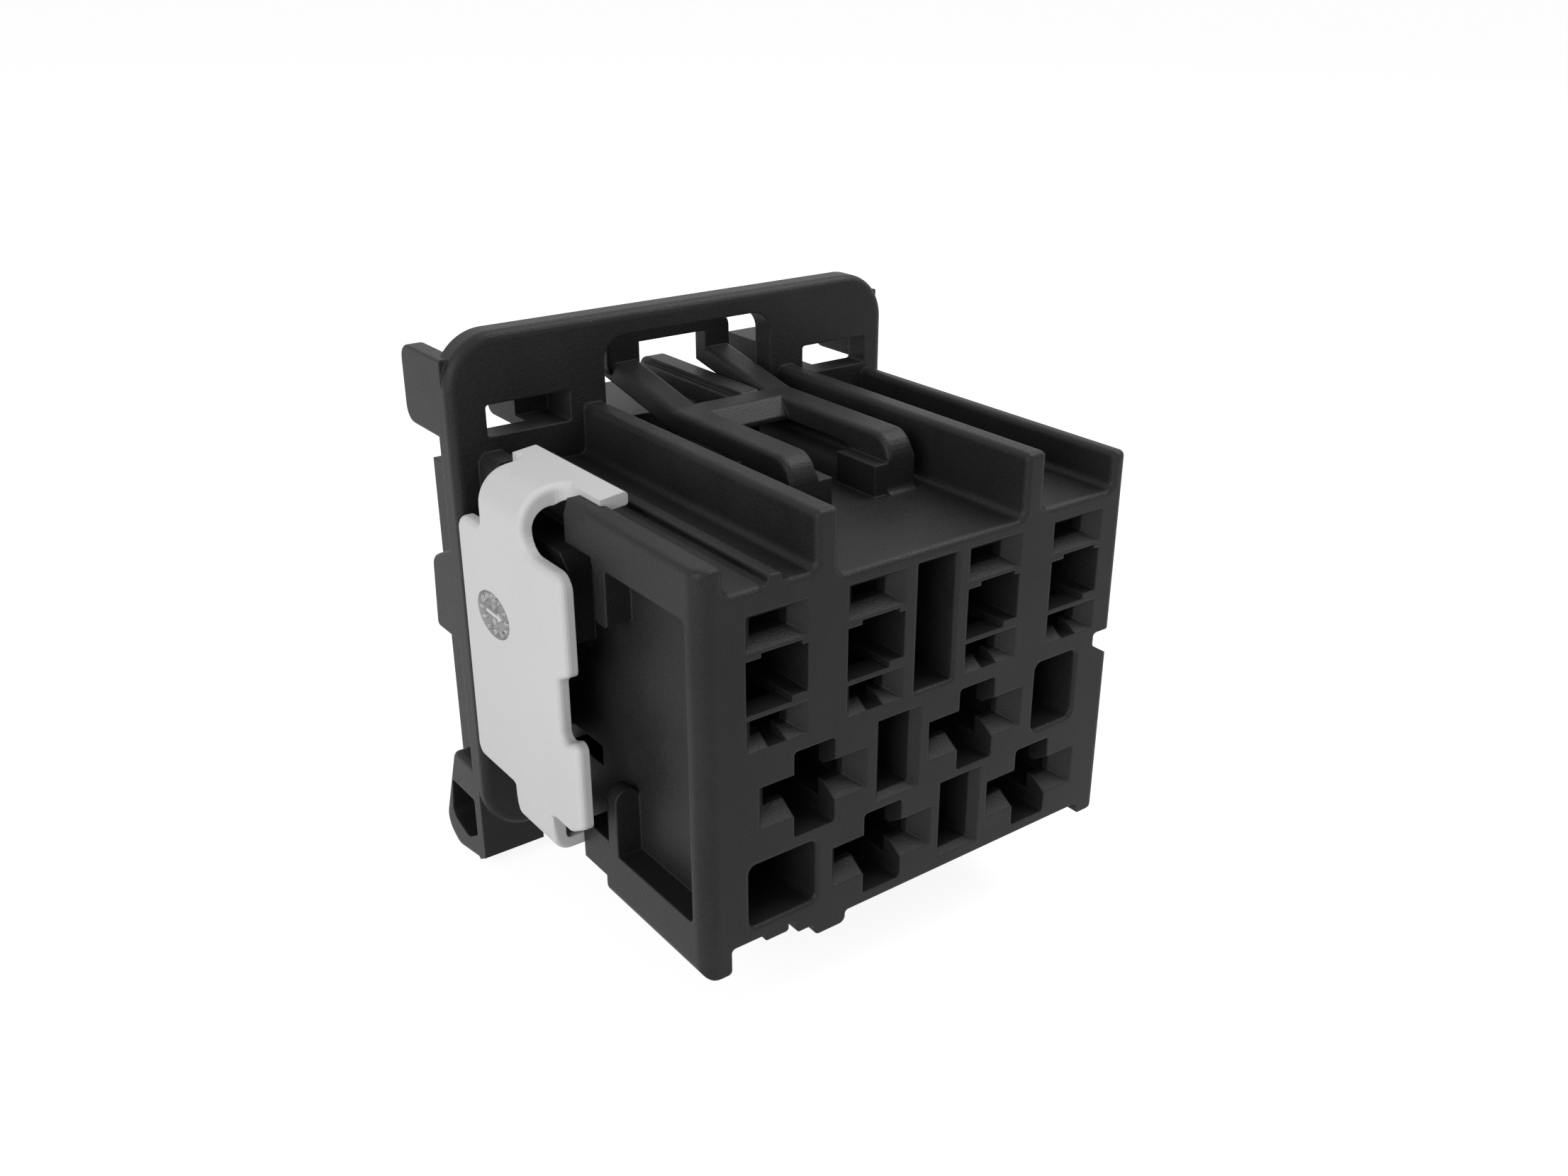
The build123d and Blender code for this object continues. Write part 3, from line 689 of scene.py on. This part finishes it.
def lockPlate():
    # the plate's side view, with the neck under the bend and the root of the lip
    k = lock
    rear, front, lobe, low, top = k["rear"], k["front"], k["lobe"], k["bottom"], k["plateTop"]
    notchRear, notchTop, notchLow = k["notch"]
    bridgeFront, bridgeRear = k["bridge"]
    lipFront, lipRear = k["lip"]
    neck, lobeLow, root = k["top"] - k["neck"], k["lobeLow"], k["lipRoot"]
    # each corner: along, up, radius
    corners = [(rear, low, 0.9), (rear, top - 0.1, 0.9), (bridgeRear, top, 0.6), (bridgeRear, neck),
               (bridgeFront, neck), (bridgeFront, top, 1.2), (front, top, 1.0), (front, notchTop + 0.7, 0.5),
               (notchRear, notchTop, 0.5), (notchRear, notchLow, 0.5), (lobe, notchLow + 0.9, 0.5),
               (lobe, lobeLow + 0.9, 0.6), (lobe + 1.5, lobeLow, 0.8), (lipFront, lobeLow, 0.15),
               (lipFront, root), (lipRear, root), (lipRear, low, 0.5), (lipRear + 0.9, low, 0.5)]
    plate = carried(rounded(corners), 0, k["outer"], k["outer"] + k["thickness"])

    def onFace(x, y, z):
        return x < k["outer"] + near and root + 0.01 < z < neck - 0.01
    return softened(plate, k["rounding"], onFace, k["roundingSteps"])


def lockBend():
    # the sheet's section over the wall, carried along the whole arm
    k = lock
    outer, inner, top, foot = k["outer"], k["outer"] + k["thickness"], k["top"], k["top"] - k["bendFoot"]
    under, (tip, tipTop, tipLow) = top - k["thickness"], k["armTip"]
    bend = [(outer, foot), (outer, top + 0.1, k["bendRadius"]), (tip, tipTop, 0.25), (tip, tipLow, 0.2),
            k["armUnder"], (k["armRise"], under, 0.3), (inner, under, 1.2), (inner, foot)]
    front, rear, side = k["arm"]
    bridge = carried(rounded(bend, k["bendSteps"]), 1, front, rear)
    # beside the bridge only the arm is left, with a blend in each inner corner
    (bridgeFront, bridgeRear), (frontBlend, rearBlend) = k["bridge"], k["bridgeBlends"]
    away, low, high = k["bendCutter"]
    before = [(away, front - past), (side, front - past), (side, bridgeFront, frontBlend),
              (away, bridgeFront)]
    behind = [(away, bridgeRear), (side, bridgeRear, rearBlend), (side, rear + past), (away, rear + past)]
    bridge = without(bridge, *[carried(rounded(corners), 2, low, high) for corners in (before, behind)])
    # only the outside of the bend is rounded: edges farther from its centre than halfway through the sheet
    centre, halfway = (outer + k["bendRadius"], top - k["bendCentre"]), k["bendRadius"] - k["thickness"] / 2
    down, first, last = k["bendRounded"]

    def onOutside(x, y, z):
        outside = math.hypot(x - centre[0], z - centre[1]) > halfway if x < centre[0] else z > top - 0.05
        return outside and x < side + 0.01 and z > top - down and first < y < last
    return softened(bridge, k["rounding"], onOutside, k["roundingSteps"])


def lockLip():
    # a hook under the wall, open towards the plate's lobe
    k = lock
    outer, inner = k["outer"], k["outer"] + k["thickness"]
    low, high = k["lipLow"], k["lipLow"] + k["thickness"]
    below, above, inside = k["lipRounded"]
    hook = [(outer, k["lobeLow"]), (outer, low, k["lipCorner"]), (k["lipInner"], low, 0.3),
            (k["lipInner"], high, 0.3), (inner, high, 0.35), (inner, k["lobeLow"])]
    lip = carried(rounded(hook), 1, *k["lip"])
    return softened(lip, k["lipEdge"], lambda x, y, z: z < below and (z < low + above or x < inner - inside))


def closedSeams(solid):
    # the seams that joining leaves in flat faces are closed and taken out
    shape = bmesh.new()
    shape.from_mesh(solid.data)
    bmesh.ops.remove_doubles(shape, verts=shape.verts, dist=lock["seam"])
    bmesh.ops.dissolve_limit(shape, angle_limit=lock["flatAngle"], verts=shape.verts, edges=shape.edges)
    shape.to_mesh(solid.data)
    shape.free()
    return solid


def makeLock():
    k = lock
    outer, inner = k["outer"], k["outer"] + k["thickness"]
    front, rear, length = k["tongue"]
    root, thickness = inner - k["tongueRoot"], leftSide["tongueThickness"]
    tongues = [block(root, inner + length, front, rear, height, height + thickness)
               for height in leftSide["tongues"]]
    shape = joined(lockPlate(), lockBend(), lockLip(), *tongues)
    y, z, wide, high, depth = dial["recess"]
    turn = np.linspace(0, 2 * math.pi, dial["steps"], endpoint=False)
    oval = np.stack([y + wide * np.cos(turn), z + high * np.sin(turn)], axis=1)
    return closedSeams(without(shape, carried(oval, 0, outer - past, outer + depth)))


# The month dial on the lock: a recess with a rough ground, raised numbers and an arrow, as low as pictured.
dial = {
    "recess": (19.2, 15.64, 2.07, 1.45, 0.3),  # place along and up, half width, half height, depth
    "centre": (-16.93 * mm, 19.2 * mm, 3.39 * mm), "radius": 2.04 * mm, "squeeze": 0.715, "steps": 72,
    "rings": 12, "firstRing": 0.02 * mm, "numberRing": 1.56 * mm, "numberHeight": 0.68 * mm,
    "numberRelief": 0.24 * mm, "numberSteps": 4, "middleNumbers": ("1", "8"), "middleHeight": 0.75 * mm,
    "middleRing": 0.62 * mm, "pointerTurn": -92,  # in degrees
    "pointerLength": 1.0 * mm, "pointerWidth": 0.3 * mm, "headWidth": 0.85 * mm, "headLength": 0.5 * mm,
}
# the dial's ground: a darker grey than the lock plastic, rougher and with a coarser grain; its edge colour is
# a painted highlight
groundFinish = {
    "name": "darker dial ground", "dark": 0.16, "light": 0.34, "edge": 0.4,
    "roughness": 0.6, "roughnessSpread": 0.1, "specular": 0.2, "rounding": 0.05 * mm,
    "grain": 0.3 * mm, "grainDepth": 0.02 * mm, "cloud": 1.1 * mm,
}

lockShell = placed(makeLock(), "lock_shell", "secondary_lock", lockPlastic)
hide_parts("secondary_lock")
print("lock ready:", len(lockShell.data.polygons), "faces")


def surface(name, points, wrapAcross=False):
    # a grid of points, rows by columns, joined with four-sided faces
    rows, columns = points.shape[:2]
    index = np.arange(rows * columns).reshape(rows, columns)
    if wrapAcross:
        index = np.concatenate([index, index[:, :1]], axis=1)
    faces = np.stack([index[:-1, :-1], index[:-1, 1:], index[1:, 1:], index[1:, :-1]], axis=-1).reshape(-1, 4)
    mesh = bpy.data.meshes.new(name)
    mesh.from_pydata(points.reshape(-1, 3).tolist(), [], faces.tolist())
    mesh.update()
    return linked(name, mesh)


def onDial(across, up, out):
    # the dial faces -X: across runs towards the front, up is up, out stands off the face
    x, y, z = dial["centre"]
    return np.stack([x - out, y - across, z + up * dial["squeeze"]], axis=-1)


def dialGround():
    # rings of growing radius, each point carried once round the middle
    angle = np.linspace(0, 2 * math.pi, dial["steps"], endpoint=False)
    radius = np.linspace(dial["firstRing"], dial["radius"], dial["rings"])[:, None]
    across, up = radius * np.cos(angle), radius * np.sin(angle)
    return surface("dial_ground", onDial(across, up, 0 * across), wrapAcross=True)


def raisedNumber(name, text, height, turn, ring):
    # a number as raised letters, turned about the middle of the dial at the given distance
    curve = bpy.data.curves.new(name, "FONT")
    curve.body = text
    curve.size = height
    curve.align_x, curve.align_y = "CENTER", "CENTER"
    curve.extrude = dial["numberRelief"] / 2
    curve.resolution_u = dial["numberSteps"]
    holder = linked(name, curve)
    bpy.context.view_layer.update()
    mesh = bpy.data.meshes.new_from_object(holder.evaluated_get(bpy.context.evaluated_depsgraph_get()))
    bpy.data.objects.remove(holder)
    corners = np.empty(len(mesh.vertices) * 3, np.float32)
    mesh.vertices.foreach_get("co", corners)
    corners = corners.reshape(-1, 3)
    middle = np.array([-math.sin(turn), math.cos(turn)]) * ring
    across, up = turned(corners[:, 0], corners[:, 1], turn)
    raised = onDial(across + middle[0], up + middle[1], corners[:, 2] + dial["numberRelief"] / 2)
    mesh.vertices.foreach_set("co", raised.astype(np.float32).ravel())
    mesh.update()
    return linked(name, mesh)


def turned(across, up, turn):
    # a flat pattern turned about the middle of the dial
    return across * math.cos(turn) - up * math.sin(turn), across * math.sin(turn) + up * math.cos(turn)


def raisedPointer():
    # an arrow outline carried outwards from the face
    shaft, head = dial["pointerWidth"] / 2, dial["headWidth"] / 2
    tip = dial["pointerLength"]
    neck = tip - dial["headLength"]
    outline = np.array([(-shaft, -tip), (shaft, -tip), (shaft, neck), (head, neck), (0, tip), (-head, neck),
                        (-shaft, neck)])
    across, up = turned(outline[:, 0], outline[:, 1], math.radians(dial["pointerTurn"]))
    low = onDial(across, up, 0 * across)
    high = onDial(across, up, 0 * across + dial["numberRelief"])
    count = len(outline)
    faces = [tuple(range(count)), tuple(range(2 * count - 1, count - 1, -1))]
    faces += [(i, i + count, (i + 1) % count + count, (i + 1) % count) for i in range(count)]
    mesh = bpy.data.meshes.new("dial_pointer")
    mesh.from_pydata(np.concatenate([low, high]).tolist(), [], faces)
    mesh.update()
    return linked("dial_pointer", mesh)


ground = dialGround()
dialPieces = [ground, raisedPointer()]
for number in range(1, 13):
    turn = -number * math.pi / 6
    dialPieces.append(raisedNumber(f"dial_number_{number}", str(number), dial["numberHeight"], turn,
                                   dial["numberRing"]))
for side, text in zip((1, -1), dial["middleNumbers"]):
    dialPieces.append(raisedNumber(f"dial_middle_{text}", text, dial["middleHeight"], 0.0,
                                   side * dial["middleRing"]))
for piece in dialPieces:
    piece.data.materials.clear()
    piece.data.materials.append(lockPlastic)
    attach(piece, "secondary_lock")
ground.data.materials[0] = mouldedPlastic(groundFinish)
print("dial ready")


studio = {
    "floorReach": 4.0, "floorPoints": 9, "floorPaint": 0.8, "floorGlow": 0.88, "floorDiffuse": 0.3,
    "skyFill": 0.35,
}
lamps = {  # direction from the object, distance, size, share of full light
    "key": ((-0.88, -0.34, 0.30), 0.4, 0.3, 0.8),
    "top": ((0.5, -0.15, 0.85), 0.4, 0.25, 0.8),
}


def shownToEye(recipe):
    # one for what the eye, a gloss or a clear part sees, nought for light that spreads
    path = recipe.make("ShaderNodeLightPath").socket.node
    eye, gloss, clear = (Signal(recipe, path.outputs[name])
                         for name in ("Is Camera Ray", "Is Glossy Ray", "Is Transmission Ray"))
    return (eye + gloss + clear).clamped()


def makeFloor():
    recipe = Recipe(bpy.data.materials.new("pale floor"))
    shadowed = recipe.make("ShaderNodeBsdfDiffuse", None, {"Color": grey(studio["floorDiffuse"])})
    glow = recipe.make("ShaderNodeEmission", None, {"Color": grey(1.0), "Strength": studio["floorGlow"]})
    seen = recipe.make("ShaderNodeAddShader", None, {0: shadowed, 1: glow})
    plain = recipe.make("ShaderNodeBsdfDiffuse", None, {"Color": grey(studio["floorPaint"])})
    shader = recipe.make("ShaderNodeMixShader", None, {0: shownToEye(recipe), 1: plain, 2: seen})
    reach, height = studio["floorReach"], cadLow[2]
    grid = np.linspace(-reach, reach, studio["floorPoints"])
    x, y = np.meshgrid(grid, grid, indexing="ij")
    floor = surface("floor", np.stack([x, y, 0 * x + height], axis=-1))
    floor.data.materials.append(recipe.finish(shader))


def makeSky():
    world = bpy.data.worlds.new("studio")
    bpy.context.scene.world = world
    recipe = Recipe(world)
    strength = shownToEye(recipe) * (1 - studio["skyFill"]) + studio["skyFill"]
    sky = recipe.make("ShaderNodeBackground", None, {"Color": grey(1.0), "Strength": strength})
    recipe.make("ShaderNodeOutputWorld", None, {"Surface": sky})


def makeLamps():
    middle = (cadLow + cadHigh) / 2
    for name, (direction, distance, size, share) in lamps.items():
        light = bpy.data.lights.new(name, "AREA")
        light.size = size
        light.energy = share * (math.pi * distance) ** 2
        away = Vector(direction).normalized()
        lamp = linked(name, light)
        lamp.location = middle + away * distance
        lamp.rotation_mode = "QUATERNION"
        lamp.rotation_quaternion = (-away).to_track_quat("-Z", "Y")


makeFloor()
makeSky()
makeLamps()

view = {
    "place": (-49.754 * mm, -53.268 * mm, 39.187 * mm), "towards": (0.54694, 0.73436, -0.40195),
    "lens": 33.185, "sensor": 36, "nearest": 0.002, "farthest": 20,
}
lens = bpy.data.cameras.new("camera")
lens.sensor_fit = "HORIZONTAL"
lens.sensor_width = view["sensor"]
lens.lens = view["lens"]
lens.clip_start = view["nearest"]
lens.clip_end = view["farthest"]
camera = linked("camera", lens)
camera.location = view["place"]
camera.rotation_mode = "QUATERNION"
camera.rotation_quaternion = Vector(view["towards"]).to_track_quat("-Z", "Y")
bpy.context.scene.camera = camera
bpy.context.scene.view_settings.view_transform = "Standard"
print("studio ready")
